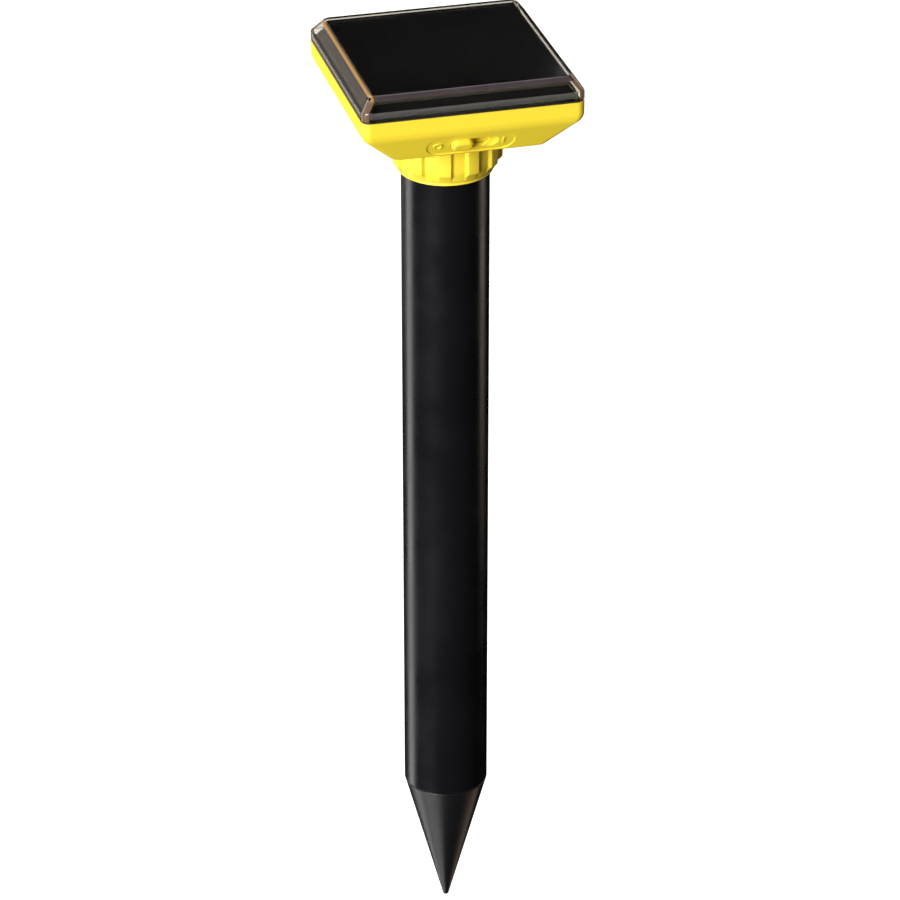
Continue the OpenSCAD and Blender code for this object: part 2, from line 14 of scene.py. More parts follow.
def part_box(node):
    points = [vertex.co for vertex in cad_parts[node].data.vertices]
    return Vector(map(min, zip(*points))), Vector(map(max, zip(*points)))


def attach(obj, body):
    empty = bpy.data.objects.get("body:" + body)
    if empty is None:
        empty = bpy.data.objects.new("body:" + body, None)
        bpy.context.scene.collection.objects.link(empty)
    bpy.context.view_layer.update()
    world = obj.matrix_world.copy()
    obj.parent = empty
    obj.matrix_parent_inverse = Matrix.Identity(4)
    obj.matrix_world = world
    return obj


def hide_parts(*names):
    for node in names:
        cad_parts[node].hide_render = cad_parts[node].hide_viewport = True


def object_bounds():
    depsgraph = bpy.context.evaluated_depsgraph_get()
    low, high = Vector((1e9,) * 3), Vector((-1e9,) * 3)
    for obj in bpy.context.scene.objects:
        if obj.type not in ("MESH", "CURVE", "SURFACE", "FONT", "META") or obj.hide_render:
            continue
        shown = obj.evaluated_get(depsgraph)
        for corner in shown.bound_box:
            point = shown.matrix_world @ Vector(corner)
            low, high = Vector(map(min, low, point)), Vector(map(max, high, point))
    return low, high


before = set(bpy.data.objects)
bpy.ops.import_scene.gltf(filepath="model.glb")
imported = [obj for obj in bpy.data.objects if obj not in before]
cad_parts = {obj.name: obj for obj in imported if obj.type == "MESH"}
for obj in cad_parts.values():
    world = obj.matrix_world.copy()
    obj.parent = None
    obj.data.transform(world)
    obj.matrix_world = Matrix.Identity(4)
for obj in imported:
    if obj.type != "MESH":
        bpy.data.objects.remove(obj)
cad_box = [list(corner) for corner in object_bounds()]

MM = 0.001

# --- Camera, floor and lights -------------------------------------------------------------------
# A long lens looks down on the head from its front left corner.
collar_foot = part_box("collar")[0][2]
camera_data = bpy.data.cameras.new("camera")
camera_data.lens = 153.47
camera_data.sensor_width = 36
camera_data.clip_end = 50
camera = bpy.data.objects.new("camera", camera_data)
camera.location = (-0.3609, -1.3682, collar_foot + 0.6361)
camera.rotation_euler = (math.radians(61.5665), 0, math.radians(-14.853))
bpy.context.scene.collection.objects.link(camera)
bpy.context.scene.camera = camera

# The floor is a wide sheet of opal acrylic, lit faintly from beneath. It is left out of reflections and
# bounced light, as the black tube would otherwise mirror it and the slopes of the head would glow.
floor_mesh = bpy.data.meshes.new("floor")
sheet = bmesh.new()
floor_reach = 9
floor_gap = 1 * MM
bmesh.ops.create_grid(sheet, x_segments=1, y_segments=1, size=floor_reach)
bmesh.ops.translate(sheet, verts=sheet.verts, vec=(0, 0, cad_box[0][2] - floor_gap))
sheet.to_mesh(floor_mesh)
sheet.free()
floor = bpy.data.objects.new("floor", floor_mesh)
floor.visible_glossy = False
floor.visible_diffuse = False
bpy.context.scene.collection.objects.link(floor)


def linear(code):
    """A colour written as sRGB hex, as the linear values that shaders take."""
    parts = [int(code[i:i + 2], 16) / 255 for i in (1, 3, 5)]
    return tuple(c / 12.92 if c <= 0.04045 else ((c + 0.055) / 1.055) ** 2.4 for c in parts) + (1,)


def add(material, kind, settings=None, links=None):
    """Adds a node, sets its properties and input values, and links other nodes' outputs to its inputs."""
    made = material.node_tree.nodes.new("ShaderNode" + kind)
    for name, value in (settings or {}).items():
        if isinstance(name, str) and hasattr(made, name):
            setattr(made, name, value)
        else:
            made.inputs[name].default_value = value
    for name, (source, output) in (links or {}).items():
        material.node_tree.links.new(source.outputs[output], made.inputs[name])
    return made


def blank_material(name):
    """A material with an empty node tree."""
    material = bpy.data.materials.new(name)
    material.use_nodes = True
    material.node_tree.nodes.clear()
    return material


def surface(material, shader):
    """Adds the material's output, fed by a shader."""
    add(material, "OutputMaterial", None, {"Surface": (shader, 0)})
    return material


opal = blank_material("white_opal_acrylic")
surface(opal, add(opal, "BsdfPrincipled", {"Base Color": linear("#F8F8F8"), "Roughness": 0.6,
                                           "Emission Color": linear("#FFFFFF"), "Emission Strength": 0.65}))
floor_mesh.materials.append(opal)


def area_light(name, place, aim, width, height, glow, colour="#FFFFFF", fill=True):
    """A soft box at a place, turned to shine at a point, as bright as glow says. Without fill it only shows
    as a reflection."""
    data = bpy.data.lights.new(name, "AREA")
    data.shape = "RECTANGLE"
    data.size = width
    data.size_y = height
    data.color = linear(colour)[:3]
    data.energy = glow * math.pi * width * height
    lamp = bpy.data.objects.new(name, data)
    lamp.location = place
    lamp.rotation_euler = (Vector(aim) - Vector(place)).to_track_quat("-Z", "Y").to_euler()
    lamp.visible_camera = False
    lamp.visible_diffuse = fill
    bpy.context.scene.collection.objects.link(lamp)
    return lamp


# A key at the front left and a warm fill at the rear right light the head. The strips and cards lay long soft
# highlights on the tube and the cone, and a faint sheen on the cover. The room's own light is faint and warm.
head_centre = (0, 0, 0.05)
area_light("key_front_left", (-1.74, -1.57, 0.55), head_centre, 1.4, 1.4, 16.4)
area_light("fill_rear_right", (1.85, 1.30, 0.85), head_centre, 1.2, 1.2, 2.2, "#FFE2C0")
area_light("top_wash", (0.2, 0.3, 2.6), head_centre, 2.0, 2.0, 1.6)
area_light("strip_left", (-1.66, 1.16, -1.2), (0, 0, -1.2), 0.80, 6.0, 2.6)
area_light("card_rear_left", (-0.78, 1.85, -0.25), (0, 0, -0.2), 0.75, 1.4, 0.40, "#F4E8DC", fill=False)
area_light("strip_right", (1.98, 0.25, -0.1), (0, 0, -0.1), 0.70, 2.0, 1.4, "#FFF0E4", fill=False)
area_light("card_top_sheen", (0.46, 0.62, 0.60), (0.1, 0, 0.1), 0.5, 0.42, 0.16, "#F0ECFF", fill=False)
area_light("card_under_left", (-0.54, -0.20, -1.15), (0, 0, -0.32), 0.6, 0.6, 1.7, fill=False)
area_light("card_under_right", (0.55, 0.15, -1.15), (0, 0, -0.32), 0.4, 0.4, 0.8, "#FFE0CC", fill=False)

world = bpy.data.worlds.new("pale_room")
bpy.context.scene.world = world
world.use_nodes = True
world.node_tree.nodes["Background"].inputs["Color"].default_value = linear("#FFE8CC")
world.node_tree.nodes["Background"].inputs["Strength"].default_value = 0.11
world.cycles_visibility.glossy = False
world.cycles_visibility.transmission = False
bpy.context.scene.view_settings.view_transform = "Standard"


# --- Spike --------------------------------------------------------------------------------------
# A black moulded nylon cone with a small round tip. Its plug goes up inside the tube.
def spin_round(bm, profile, steps=96):
    """Turns a closed profile of (radius, height) points about the Z axis into a solid ring."""
    points = [bm.verts.new((r, 0, z)) for r, z in profile]
    edges = [bm.edges.new((points[i], points[(i + 1) % len(points)])) for i in range(len(points))]
    bmesh.ops.spin(bm, geom=points + edges, cent=(0, 0, 0), axis=(0, 0, 1), angle=math.tau,
                   steps=steps, use_merge=True)
    bmesh.ops.remove_doubles(bm, verts=bm.verts, dist=0.002 * MM)
    bmesh.ops.dissolve_degenerate(bm, dist=0.001 * MM, edges=bm.edges)


def make_piece(name, bm, material, body, nodes=(), sharp=35):
    """Turns a bmesh into a finished piece that rides on a body and stands for CAD nodes."""
    bmesh.ops.recalc_face_normals(bm, faces=bm.faces)
    mesh = bpy.data.meshes.new(name)
    bm.to_mesh(mesh)
    bm.free()
    mesh.shade_smooth()
    mesh.set_sharp_from_angle(angle=math.radians(sharp))
    mesh.materials.append(material)
    piece = bpy.data.objects.new(name, mesh)
    bpy.context.scene.collection.objects.link(piece)
    piece.modifiers.new("even_normals", "WEIGHTED_NORMAL").keep_sharp = True
    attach(piece, body)
    if nodes:
        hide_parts(*nodes)
    return piece


def arc(centre_r, centre_z, radius, start, end, steps):
    """Points of an arc in a (radius, height) profile, from one angle in degrees to another."""
    angles = [math.radians(start + (end - start) * i / steps) for i in range(steps + 1)]
    return [(centre_r + radius * math.cos(a), centre_z + radius * math.sin(a)) for a in angles]


def moulded_plastic(name, colour, roughness, grain_mm, bump, mottle=0.06, ior=1.5):
    """A moulded plastic: one colour with a faint mottle, and a fine grain from the tool."""
    material = blank_material(name)
    place = add(material, "TexCoord")
    cloud = add(material, "TexNoise", {"Scale": 1 / (14 * MM), "Detail": 3.0}, {"Vector": (place, "Object")})
    grain = add(material, "TexNoise", {"Scale": 1 / (grain_mm * MM), "Detail": 2.0},
                {"Vector": (place, "Object")})
    base = linear(colour)
    dark = tuple(c * (1 - mottle) for c in base[:3]) + (1,)
    shade = add(material, "Mix", {"data_type": "RGBA", 6: dark, 7: base}, {0: (cloud, 0)})
    rough = add(material, "MapRange", {3: roughness - 0.04, 4: roughness + 0.04}, {0: (cloud, 0)})
    relief = add(material, "Bump", {"Strength": bump, "Distance": 0.02 * MM}, {"Height": (grain, 0)})
    shader = add(material, "BsdfPrincipled", {"IOR": ior},
                 {"Base Color": (shade, 2), "Roughness": (rough, 0), "Normal": (relief, 0)})
    return surface(material, shader)


tube_low, tube_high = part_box("tube")
spike_low, spike_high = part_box("spike")
tube_radius = tube_high[0]
tube_wall = 2 * MM
tube_bore = tube_radius - tube_wall
seam = tube_low[2]
tip_z = spike_low[2]
tip_radius = 1.3 * MM
seam_bevel = 0.35 * MM
hollow_depth = 40 * MM
hollow_tip = 2 * MM
spike_wall = 3 * MM
plug_bevel = 0.6 * MM

spike_nylon = moulded_plastic("black_nylon_moulded", "#17171A", 0.34, 0.5, 0.25)
cone_length = seam - tip_z - tip_radius
cone_side = math.hypot(tube_radius, cone_length)
lean = math.degrees(math.atan(tube_radius / cone_length) - math.asin(tip_radius / cone_side))
plug_bore = tube_bore - spike_wall
bm = bmesh.new()
spin_round(bm, [(0, seam - hollow_depth), (hollow_tip, seam - hollow_depth), (plug_bore, seam - 2 * MM),
                (plug_bore, spike_high[2]), (tube_bore - plug_bevel, spike_high[2]),
                (tube_bore, spike_high[2] - plug_bevel), (tube_bore, seam), (tube_radius - seam_bevel, seam)]
           + arc(tube_radius - seam_bevel, seam - seam_bevel, seam_bevel, 80, -lean, 4)
           + arc(0, tip_z + tip_radius, tip_radius, -lean, -90, 8), steps=128)
make_piece("spike", bm, spike_nylon, "stake", ["spike"])

# --- Tube ---------------------------------------------------------------------------------------
# A smooth black extruded tube. Its hidden top end is turned down a little, and three bayonet slots and a key
# notch are cut in it.
relief_top = collar_foot - 1 * MM
relief = 0.2 * MM


def extruded_plastic(name, colour, roughness):
    """A smooth extruded plastic: fine draw lines run along Z, with a few soft scuffs."""
    material = blank_material(name)
    place = add(material, "TexCoord")
    along = add(material, "Mapping", {"Scale": (1, 1, 0.01)}, {"Vector": (place, "Object")})
    lines = add(material, "TexNoise", {"Scale": 1 / (1.2 * MM), "Detail": 2.0}, {"Vector": (along, 0)})
    scuffs = add(material, "TexNoise", {"Scale": 1 / (22 * MM), "Detail": 5.0}, {"Vector": (place, "Object")})
    rough = add(material, "MapRange", {1: 0.35, 2: 0.75, 3: roughness - 0.03, 4: roughness + 0.07},
                {0: (scuffs, 0)})
    relief_bump = add(material, "Bump", {"Strength": 0.12, "Distance": 0.01 * MM}, {"Height": (lines, 0)})
    base = linear(colour)
    shade = add(material, "Mix", {"data_type": "RGBA", 6: base, 7: tuple(c * 1.5 for c in base[:3]) + (1,)},
                {0: (scuffs, 0)})
    shader = add(material, "BsdfPrincipled", {"IOR": 1.5},
                 {"Base Color": (shade, 2), "Roughness": (rough, 0), "Normal": (relief_bump, 0)})
    return surface(material, shader)


tube_plastic = extruded_plastic("black_abs_extruded", "#0E0E11", 0.28)
tube_form = bmesh.new()
spin_round(tube_form, [(tube_bore, seam), (tube_radius - seam_bevel, seam)]
           + arc(tube_radius - seam_bevel, seam + seam_bevel, seam_bevel, -90, 0, 4)
           + [(tube_radius, relief_top), (tube_radius - relief, relief_top + 0.05 * MM),
              (tube_radius - relief, tube_high[2]), (tube_bore, tube_high[2])], steps=160)


def plain_object(bm):
    """An object from a bmesh, for cutting or to be cut."""
    bmesh.ops.recalc_face_normals(bm, faces=bm.faces)
    mesh = bpy.data.meshes.new("plain")
    bm.to_mesh(mesh)
    bm.free()
    made = bpy.data.objects.new("plain", mesh)
    bpy.context.scene.collection.objects.link(made)
    return made


def cut(bm, cutters, edge=0, segments=2, angle=32):
    """Cuts solids out of a form, rounds its sharp edges, and returns the result as a new bmesh."""
    piece = plain_object(bm)
    for cutter in cutters:
        change = piece.modifiers.new("cut", "BOOLEAN")
        change.operation = "DIFFERENCE"
        change.solver = "EXACT"
        change.object = cutter
    if edge:
        change = piece.modifiers.new("edges", "BEVEL")
        change.width = edge
        change.segments = segments
        change.limit_method = "ANGLE"
        change.angle_limit = math.radians(angle)
    graph = bpy.context.evaluated_depsgraph_get()
    made = bmesh.new()
    made.from_mesh(piece.evaluated_get(graph).to_mesh())
    for old in [piece] + cutters:
        bpy.data.objects.remove(old)
    return made


def block(bm, low, high, turn=0):
    """A box between two corners, turned about the Z axis."""
    size = [h - l for l, h in zip(low, high)]
    made = bmesh.ops.create_cube(bm, size=1)
    bmesh.ops.scale(bm, verts=made["verts"], vec=size)
    bmesh.ops.translate(bm, verts=made["verts"], vec=[(l + h) / 2 for l, h in zip(low, high)])
    bmesh.ops.rotate(bm, verts=made["verts"], cent=(0, 0, 0), matrix=Matrix.Rotation(turn, 3, "Z"))
    return made["verts"]


peg_radius = 1.5 * MM
peg_height = tube_high[2] - 5.5 * MM
slot_half = peg_radius + 0.3 * MM
slot_spread = slot_half / tube_bore + math.radians(1)
key_half = 2 * MM
key_depth = 4 * MM
overshoot = 1 * MM
peg_turns = [math.radians(45 + a) for a in (0, 120, 240)]
unlock_turn = math.radians(30)
key_turn = math.radians(120)
bm = bmesh.new()
for turn in peg_turns:
    block(bm, (tube_bore - overshoot, -slot_half, peg_height),
          (tube_radius + overshoot, slot_half, tube_high[2] + overshoot), turn + unlock_turn)
block(bm, (tube_bore - overshoot, -key_half, tube_high[2] - key_depth),
      (tube_radius + overshoot, key_half, tube_high[2] + overshoot), key_turn)
upright_slots = plain_object(bm)
bm = bmesh.new()
for turn in peg_turns:
    wedge = bmesh.ops.create_circle(bm, cap_ends=True, radius=1, segments=4)["verts"]
    angles = [turn - slot_spread, turn + unlock_turn / 2, turn + unlock_turn + slot_spread]
    reach = tube_radius + 2 * overshoot
    corners = [(0, 0)] + [(math.cos(a) * reach, math.sin(a) * reach) for a in angles]
    for vert, (x, y) in zip(wedge, corners):
        vert.co = (x, y, peg_height - slot_half)
    faces = list({f for v in wedge for f in v.link_faces})
    grown = bmesh.ops.extrude_face_region(bm, geom=faces)["geom"]
    lifted = [g for g in grown if isinstance(g, bmesh.types.BMVert)]
    bmesh.ops.translate(bm, verts=lifted, vec=(0, 0, 2 * slot_half))
level_slots = plain_object(bm)
bm = cut(tube_form, [upright_slots, level_slots])
make_piece("tube", bm, tube_plastic, "stake", ["tube"])

# --- Collar -------------------------------------------------------------------------------------
# A yellow ABS ring that turns on the neck: a round foot, a bowl above it, and twelve grip ribs. Three pegs
# inside it go into the tube's slots.
yellow = moulded_plastic("yellow_abs_moulded", "#F7DE38", 0.5, 0.35, 0.35, mottle=0.03, ior=1.53)
collar_low, collar_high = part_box("collar")
collar_bore = tube_radius + 0.3 * MM
foot_radius = collar_bore + 1.1 * MM
foot_round = 0.35 * MM
waist = foot_radius - 0.4 * MM
waist_round = 1.5 * MM
bowl_radius = foot_radius + 2.4 * MM
bowl_low = 5.8 * MM
bowl_draft = 0.15 * MM
top_bevel = 0.3 * MM
collar_height = collar_high[2] - collar_low[2]
peg_length = 2.6 * MM
peg_middle = tube_bore + 1.6 * MM
rib_out = 1.3 * MM
rib_count = 12
rib_root = math.radians(8.1)
rib_crest = math.radians(6.3)
rib_low = 3.9 * MM
rib_full = 5.6 * MM
lip_inner = 16.58 * MM
lip_under = 18.6 * MM


def smooth_step(low, high, value):
    """0 below low, 1 above high, and a soft S between."""
    t = min(1, max(0, (value - low) / (high - low)))
    return t * t * (3 - 2 * t)


bends = [math.radians(t) for t in range(0, 61, 10)]
waist_curve = [(waist + waist_round * math.sin(t), 1.2 * MM + waist_round * (1 - math.cos(t))) for t in bends]
bowl_top = collar_height - top_bevel
bowl_wall = [(bowl_radius - bowl_draft * (1 - i / 8), bowl_low + (bowl_top - bowl_low) * i / 8)
             for i in range(9)]
outer = ([(collar_bore, 0), (foot_radius - foot_round, 0)]
         + arc(foot_radius - foot_round, foot_round, foot_round, -60, 60, 4)
         + [(waist + 0.1 * MM, 1.1 * MM)] + waist_curve
         + [(foot_radius + 1.6 * MM, 4.0 * MM), (bowl_radius - 0.4 * MM, 5.2 * MM)]
         + bowl_wall + [(bowl_radius - top_bevel, collar_height)])
ring = outer + [(lip_inner, collar_height), (lip_inner, lip_under), (collar_bore, lip_under)]
bm = bmesh.new()
spin_round(bm, [(r, collar_low[2] + z) for r, z in ring], steps=720)
for vert in bm.verts:
    radius = math.hypot(vert.co.x, vert.co.y)
    if radius < foot_radius + 0.8 * MM:
        continue
    turn = math.atan2(vert.co.y, vert.co.x) % (math.tau / rib_count)
    off_centre = abs(turn - math.tau / rib_count / 2)
    rise = 1 - smooth_step(rib_crest - 0.01, rib_root + 0.01, off_centre)
    foot = smooth_step(rib_low - 0.6 * MM, rib_full + 0.4 * MM, vert.co.z - collar_low[2])
    grown = 1 + (rib_out + bowl_radius - radius) * rise * foot / radius
    vert.co.x *= grown
    vert.co.y *= grown
for turn in peg_turns:
    made = bmesh.ops.create_cone(bm, cap_ends=True, segments=24, radius1=peg_radius, radius2=peg_radius,
                                 depth=peg_length)["verts"]
    bmesh.ops.rotate(bm, verts=made, cent=(0, 0, 0), matrix=Matrix.Rotation(math.pi / 2, 3, "Y"))
    bmesh.ops.translate(bm, verts=made, vec=(peg_middle, 0, peg_height))
    bmesh.ops.rotate(bm, verts=made, cent=(0, 0, 0), matrix=Matrix.Rotation(turn, 3, "Z"))
make_piece("collar", bm, yellow, "collar", ["collar"], sharp=50)

# --- Housing ------------------------------------------------------------------------------------
# The yellow ABS tub of the head: an upright band, slopes down to a flat underside, screw posts inside, and
# the neck that goes down into the collar. The front slope has a shallow recess with a slot for the switch,
# and a round dish at the slot's right end.
housing_low, housing_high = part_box("housing")
half_w, half_d = housing_high[0], housing_high[1]
rim = housing_high[2]
underside = collar_high[2] + 0.3 * MM
slope_height = 13.1 * MM
side_in = 13.9 * MM
front_in = 8.6 * MM
hollow_side_in = 14.77 * MM
hollow_front_in = 9.79 * MM
wall = 2.2 * MM
corner = 3.5 * MM
band_low = underside + slope_height
neck_bore = 13.3 * MM
neck_radius = 16.5 * MM


def join_ring(bm, profile, place, steps=32):
    """Adds a ring turned about its own upright axis, set at a place, to a form."""
    ring = bmesh.new()
    spin_round(ring, profile, steps)
    bmesh.ops.translate(ring, verts=ring.verts, vec=place)
    mesh = bpy.data.meshes.new("ring")
    ring.to_mesh(mesh)
    ring.free()
    bm.from_mesh(mesh)
    bpy.data.meshes.remove(mesh)


def stepped_solid(levels, radius, steps=6):
    """A closed form with round upright corners, drawn up through (height, half width, half depth) levels."""
    bm = bmesh.new()
    z, half_x, half_y = levels[0]
    corners = [bm.verts.new((sx * half_x, sy * half_y, z)) for sx, sy in ((1, 1), (-1, 1), (-1, -1), (1, -1))]
    bm.faces.new(corners)
    bmesh.ops.bevel(bm, geom=corners, offset=radius, offset_type="OFFSET", segments=steps, profile=0.5,
                    affect="VERTICES", material=-1)
    foot = end = bm.faces[:][0]
    for z, next_x, next_y in levels[1:]:
        grown = bmesh.ops.extrude_face_region(bm, geom=[end])["geom"]
        for vert in [g for g in grown if isinstance(g, bmesh.types.BMVert)]:
            vert.co = (vert.co.x + (next_x - half_x) * math.copysign(1, vert.co.x),
                       vert.co.y + (next_y - half_y) * math.copysign(1, vert.co.y), z)
        if end is not foot:
            bmesh.ops.delete(bm, geom=[end], context="FACES_ONLY")
        end = next(g for g in grown if isinstance(g, bmesh.types.BMFace))
        half_x, half_y = next_x, next_y
    bmesh.ops.recalc_face_normals(bm, faces=bm.faces)
    return bm


def round_edges_at(bm, z, offset, segments):
    """Rounds the level edges at a height."""
    edges = [e for e in bm.edges if all(abs(v.co.z - z) < 0.01 * MM for v in e.verts)]
    bmesh.ops.bevel(bm, geom=edges, offset=offset, offset_type="OFFSET", segments=segments, profile=0.5,
                    affect="EDGES", material=-1)


slope_tilt = math.atan(front_in / slope_height)
switch_x = -0.5 * MM
switch_down = 1 * MM
slope_frame = (Matrix.Translation((switch_x, -(half_d - front_in / 2), underside + slope_height / 2))
               @ Matrix.Rotation(math.pi / 2 + slope_tilt, 4, "X") @ Matrix.Translation((0, -switch_down, 0)))
slot_length = 16.4 * MM
slot_height = 6.4 * MM
recess_length = slot_length + 19.6 * MM
recess_height = math.hypot(front_in, slope_height) - 4.2 * MM
recess_depth = 0.4 * MM
scoop_radius = 6 * MM
scoop_depth = 1.3 * MM
scoop_x = slot_length / 2 - 0.4 * MM
cutter_top = 4 * MM


def pill(bm, length, high, low_z, high_z, steps=32):
    """An upright solid with round ends, in the frame of the front slope."""
    made = bmesh.ops.create_circle(bm, cap_ends=True, radius=high / 2, segments=2 * steps)["verts"]
    for vert in made:
        side = 1 if vert.co.x > 1e-7 else -1 if vert.co.x < -1e-7 else 0
        vert.co.x += side * (length - high) / 2
        vert.co.z = low_z
    face = made[0].link_faces[0]
    grown = bmesh.ops.extrude_face_region(bm, geom=[face])["geom"]
    tops = [g for g in grown if isinstance(g, bmesh.types.BMVert)]
    bmesh.ops.translate(bm, verts=tops, vec=(0, 0, high_z - low_z))
    return made + tops


tub = stepped_solid([(underside, half_w - side_in, half_d - front_in), (band_low, half_w, half_d),
                     (rim, half_w, half_d)], corner)
round_edges_at(tub, band_low, 2.2 * MM, 5)
round_edges_at(tub, underside, 0.9 * MM, 3)
tub_levels = [(underside + wall, half_w - hollow_side_in, half_d - hollow_front_in),
              (band_low + 0.8 * MM, half_w - wall, half_d - wall),
              (rim + 2 * MM, half_w - wall, half_d - wall)]
tub_hollow = plain_object(stepped_solid(tub_levels, 1.2 * MM))
bm = bmesh.new()
bmesh.ops.create_cone(bm, cap_ends=True, segments=96, radius1=neck_bore, radius2=neck_bore, depth=20 * MM)
bmesh.ops.translate(bm, verts=bm.verts, vec=(0, 0, underside))
bore_cutter = plain_object(bm)
bm = bmesh.new()
pill(bm, recess_length, recess_height, -recess_depth, cutter_top)
bmesh.ops.transform(bm, verts=bm.verts, matrix=slope_frame)
recess_cutter = plain_object(bm)
bm = bmesh.new()
pill(bm, slot_length, slot_height, -wall - MM, cutter_top)
bmesh.ops.transform(bm, verts=bm.verts, matrix=slope_frame)
slot_cutter = plain_object(bm)
bm = bmesh.new()
bmesh.ops.create_uvsphere(bm, u_segments=64, v_segments=32, radius=scoop_radius)
bmesh.ops.translate(bm, verts=bm.verts, vec=(scoop_x, 0, scoop_radius - recess_depth - scoop_depth))
bmesh.ops.transform(bm, verts=bm.verts, matrix=slope_frame)
scoop_cutter = plain_object(bm)
bm = cut(tub, [tub_hollow, bore_cutter, recess_cutter, slot_cutter, scoop_cutter], edge=0.35 * MM)

clip_low, clip_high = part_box("collar_clip")
seal_low, seal_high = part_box("neck_seal")
spigot = 15.8 * MM
clip_groove = 15.5 * MM
seal_groove = 14.6 * MM
neck_foot = clip_low[2] - 1.5 * MM
seal_bottom, seal_top = seal_low[2] - 0.2 * MM, seal_high[2] + 0.2 * MM
clip_bottom, clip_top = clip_low[2] - 0.05 * MM, clip_high[2] + 0.05 * MM
spin_round(bm, [(neck_bore, housing_low[2]), (spigot, housing_low[2]), (spigot, seal_bottom),
                (seal_groove, seal_bottom), (seal_groove, seal_top), (spigot, seal_top), (spigot, neck_foot),
                (neck_radius, neck_foot), (neck_radius, clip_bottom), (clip_groove, clip_bottom),
                (clip_groove, clip_top), (neck_radius, clip_top), (neck_radius, underside + MM),
                (neck_bore, underside + MM)])
board_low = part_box("circuit_board")[0]
tray_low, tray_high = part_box("panel_tray")
board_post_x, board_post_y = 22 * MM, 9 * MM
tray_post_x, tray_post_y = 33.5 * MM, 34.5 * MM
four_ways = [(sx, sy) for sx in (-1, 1) for sy in (-1, 1)]
for post_x, post_y, radius, hole, low, high in (
        (board_post_x, board_post_y, 2.5 * MM, 1.2 * MM, underside + MM, board_low[2]),
        (tray_post_x, tray_post_y, 3.2 * MM, 1.4 * MM, underside + 6.5 * MM, tray_low[2])):
    post = [(hole, low), (radius, low), (radius, high), (hole, high)]
    for sx, sy in four_ways:
        join_ring(bm, post, (sx * post_x, sy * post_y, 0))
make_piece("housing", bm, yellow, "stake", ["housing"], sharp=38)

# --- Switch -------------------------------------------------------------------------------------
# A yellow ABS knob with a domed top slides in the slot, from a raised ring for off to a bar for on.
knob_length = 9 * MM
knob_height = slot_height - 0.6 * MM
knob_out = 1.6 * MM
knob_round = 1.5 * MM
knob_low, knob_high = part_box("switch_knob")
knob_x = (knob_low[0] + knob_high[0]) / 2 - switch_x
bm = bmesh.new()
pill(bm, knob_length, knob_height, -wall - 0.3 * MM, knob_out)
round_edges_at(bm, knob_out, knob_round, 6)
bmesh.ops.translate(bm, verts=bm.verts, vec=(knob_x, 0, 0))
bmesh.ops.transform(bm, verts=bm.verts, matrix=slope_frame)
make_piece("switch_knob", bm, yellow, "switch", ["switch_knob"])

mark_place = slot_length / 2 + 5.1 * MM
mark_rise = 0.35 * MM
bar_half_width, bar_half_height = 0.35 * MM, 1.9 * MM
bm = bmesh.new()
spin_round(bm, [(1.2 * MM, 0), (1.9 * MM, 0), (1.8 * MM, mark_rise), (1.3 * MM, mark_rise)], 48)
bmesh.ops.translate(bm, verts=bm.verts, vec=(-mark_place, 0, -recess_depth))
bar = block(bm, (mark_place - bar_half_width, -bar_half_height, -recess_depth - 0.1 * MM),
            (mark_place + bar_half_width, bar_half_height, -recess_depth + mark_rise))
bmesh.ops.bevel(bm, geom=list({e for v in bar for e in v.link_edges}), offset=0.12 * MM, offset_type="OFFSET",
                segments=2, profile=0.5, affect="EDGES", material=-1)
bmesh.ops.transform(bm, verts=bm.verts, matrix=slope_frame)
make_piece("switch_marks", bm, yellow, "stake")

# --- Panel and tray -----------------------------------------------------------------------------
# The panel is dark brown glass-fibre laminate with black cells under clear resin. It lies on a black ABS
# tray, whose shoulders slope like the cover's and which has a screw well at each of its corners.
panel_low, panel_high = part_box("solar_panel")
laminate = moulded_plastic("glass_fibre_laminate", "#1E1A16", 0.3, 0.8, 0.3, mottle=0.25)


def solar_film(name):
    """Thin black cells under smooth resin: near-black blue, with fine dark scribe lines between the cells."""
    material = blank_material(name)
    place = add(material, "TexCoord")
    stripes = add(material, "TexWave", {"wave_type": "BANDS", "bands_direction": "X", "Scale": 1 / (40 * MM),
                                        "Distortion": 0.0}, {"Vector": (place, "Object")})
    line = add(material, "MapRange", {1: 0.0, 2: 0.02, 3: 0.0, 4: 1.0}, {0: (stripes, 1)})
    cloud = add(material, "TexNoise", {"Scale": 1 / (25 * MM), "Detail": 3.0}, {"Vector": (place, "Object")})
    cells = add(material, "Mix", {"data_type": "RGBA", 6: linear("#08080D"), 7: linear("#0E0E15")},
                {0: (cloud, 0)})
    shade = add(material, "Mix", {"data_type": "RGBA", 6: linear("#050507")}, {0: (line, 0), 7: (cells, 2)})
    shader = add(material, "BsdfPrincipled", {"Roughness": 0.25, "IOR": 1.5}, {"Base Color": (shade, 2)})
    return surface(material, shader)


cells = solar_film("black_solar_cells_under_resin")
bm = bmesh.new()
block(bm, panel_low, panel_high)
bmesh.ops.bevel(bm, geom=list(bm.edges), offset=0.12 * MM, offset_type="OFFSET", segments=2, profile=0.5,
                affect="EDGES", material=-1)
panel = make_piece("solar_panel", bm, laminate, "stake", ["solar_panel"])
panel.data.materials.append(cells)
for face in panel.data.polygons:
    face.material_index = 1 if face.normal.z > 0.9 else 0

